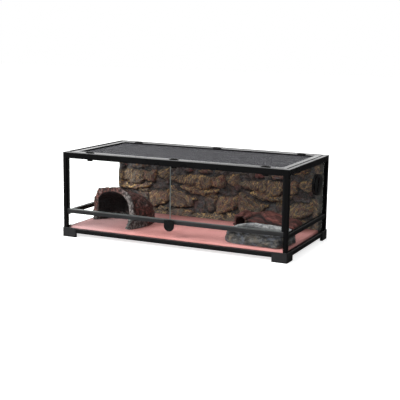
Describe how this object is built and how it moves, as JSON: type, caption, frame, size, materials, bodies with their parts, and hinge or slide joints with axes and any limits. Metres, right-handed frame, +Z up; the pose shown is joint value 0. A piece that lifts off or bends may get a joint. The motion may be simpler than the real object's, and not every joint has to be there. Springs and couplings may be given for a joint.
{
  "type": "reptile terrarium",
  "caption": "Low rectangular glass terrarium with a black profile frame, hinged front doors, latched screen lid, cable port and rock furnishing.",
  "frame": {"origin": "middle of the base, on the ground under the corner feet", "axes": "+X to the right along the length, -Y towards the front with the doors, +Z up"},
  "size_m": [0.914, 0.457, 0.33],
  "materials": {
    "frame_plastic": "satin black profile",
    "foot_plastic": "satin black moulding",
    "fitting_plastic": "satin black moulding",
    "rivet_plastic": "satin black",
    "port_plastic": "gloss black moulding",
    "pin_steel": "drawn wire",
    "screen_aluminium": "black powder coat",
    "mesh_wire": "dark woven wire",
    "glass": "clear, polished edges",
    "rock_foam": "painted moulded rock",
    "sand": "fine red sand",
    "hide_resin": "painted moulded rock",
    "bowl_stone": "grey moulded rock",
    "bark": "rough bark"
  },
  "bodies": {
    "frame": {"bottom_rail_back": "frame_plastic", "bottom_rail_front": "frame_plastic", "bottom_rail_left": "frame_plastic", "bottom_rail_right": "frame_plastic", "floor_glass": "glass", "foot_back_left": "foot_plastic", "foot_back_right": "foot_plastic", "foot_front_left": "foot_plastic", "foot_front_right": "foot_plastic", "front_sill": "frame_plastic", "lock_rivet": "rivet_plastic", "lower_glass_back": "glass", "lower_glass_front": "glass", "lower_glass_left": "glass", "lower_glass_right": "glass", "mid_rail_back": "frame_plastic", "mid_rail_left": "frame_plastic", "mid_rail_right": "frame_plastic", "port_flange": "port_plastic", "port_ring_nut": "port_plastic", "port_rivet": "rivet_plastic", "post_back_left": "frame_plastic", "post_back_right": "frame_plastic", "post_front_left": "frame_plastic", "post_front_right": "frame_plastic", "rock_background": "rock_foam", "sand_bed": "sand", "top_corner_back_left": "frame_plastic", "top_corner_back_right": "frame_plastic", "top_corner_front_left": "frame_plastic", "top_corner_front_right": "frame_plastic", "top_rail_back": "frame_plastic", "top_rail_front": "frame_plastic", "top_rail_left": "frame_plastic", "top_rail_right": "frame_plastic", "upper_glass_back": "glass", "upper_glass_left": "glass", "upper_glass_right": "glass"},
    "left_door": {"door_glass_left": "glass", "door_stile_left": "fitting_plastic", "hinge_pins_left": "pin_steel"},
    "right_door": {"door_glass_right": "glass", "door_stile_right": "fitting_plastic", "hinge_pins_right": "pin_steel"},
    "door_lock": {"door_lock_tab": "fitting_plastic"},
    "screen_lid": {"screen_frame": "screen_aluminium", "screen_mesh": "mesh_wire"},
    "shutter": {"port_shutter": "port_plastic"},
    "hide": {"cave_hide": "hide_resin"},
    "bowl": {"water_bowl": "bowl_stone"},
    "bark": {"bark_slab": "bark"},
    "turn_latch_back_left": {"latch_back_left": "fitting_plastic"},
    "turn_latch_back_middle": {"latch_back_middle": "fitting_plastic"},
    "turn_latch_back_right": {"latch_back_right": "fitting_plastic"},
    "turn_latch_front_left": {"latch_front_left": "fitting_plastic"},
    "turn_latch_front_middle": {"latch_front_middle": "fitting_plastic"},
    "turn_latch_front_right": {"latch_front_right": "fitting_plastic"}
  },
  "joints": [
    {"name": "left_door_hinge", "type": "hinge", "parent": "frame", "child": "left_door", "pos_m": [-0.4352, -0.218, 0.206], "axis": [0, 0, -1], "range_deg": [0, 95]},
    {"name": "right_door_hinge", "type": "hinge", "parent": "frame", "child": "right_door", "pos_m": [0.4352, -0.218, 0.206], "axis": [0, 0, 1], "range_deg": [0, 95]},
    {"name": "door_lock_turn", "type": "hinge", "parent": "frame", "child": "door_lock", "pos_m": [0, -0.2262, 0.0997], "axis": [0, -1, 0], "range_deg": [0, 180]},
    {"name": "lid_lift", "type": "slide", "parent": "frame", "child": "screen_lid", "axis": [0, 0, 1], "range_m": [0, 0.12]},
    {"name": "latch_back_left_turn", "type": "hinge", "parent": "screen_lid", "child": "turn_latch_back_left", "pos_m": [-0.355, 0.1915, 0.32], "axis": [0, 0, 1], "range_deg": [0, 90]},
    {"name": "latch_back_middle_turn", "type": "hinge", "parent": "screen_lid", "child": "turn_latch_back_middle", "pos_m": [0, 0.1915, 0.32], "axis": [0, 0, 1], "range_deg": [0, 90]},
    {"name": "latch_back_right_turn", "type": "hinge", "parent": "screen_lid", "child": "turn_latch_back_right", "pos_m": [0.355, 0.1915, 0.32], "axis": [0, 0, 1], "range_deg": [0, 90]},
    {"name": "latch_front_left_turn", "type": "hinge", "parent": "screen_lid", "child": "turn_latch_front_left", "pos_m": [-0.355, -0.1915, 0.32], "axis": [0, 0, 1], "range_deg": [0, 90]},
    {"name": "latch_front_middle_turn", "type": "hinge", "parent": "screen_lid", "child": "turn_latch_front_middle", "pos_m": [0, -0.1915, 0.32], "axis": [0, 0, 1], "range_deg": [0, 90]},
    {"name": "latch_front_right_turn", "type": "hinge", "parent": "screen_lid", "child": "turn_latch_front_right", "pos_m": [0.355, -0.1915, 0.32], "axis": [0, 0, 1], "range_deg": [0, 90]},
    {"name": "shutter_turn", "type": "hinge", "parent": "frame", "child": "shutter", "pos_m": [0.4522, 0.118, 0.225], "axis": [1, 0, 0], "range_deg": [0, 180]},
    {"name": "hide_lift", "type": "slide", "parent": "frame", "child": "hide", "axis": [0, 0, 1], "range_m": [0, 0.1]},
    {"name": "bowl_lift", "type": "slide", "parent": "frame", "child": "bowl", "axis": [0, 0, 1], "range_m": [0, 0.1]},
    {"name": "bark_lift", "type": "slide", "parent": "frame", "child": "bark", "axis": [0, 0, 1], "range_m": [0, 0.1]}
  ]
}
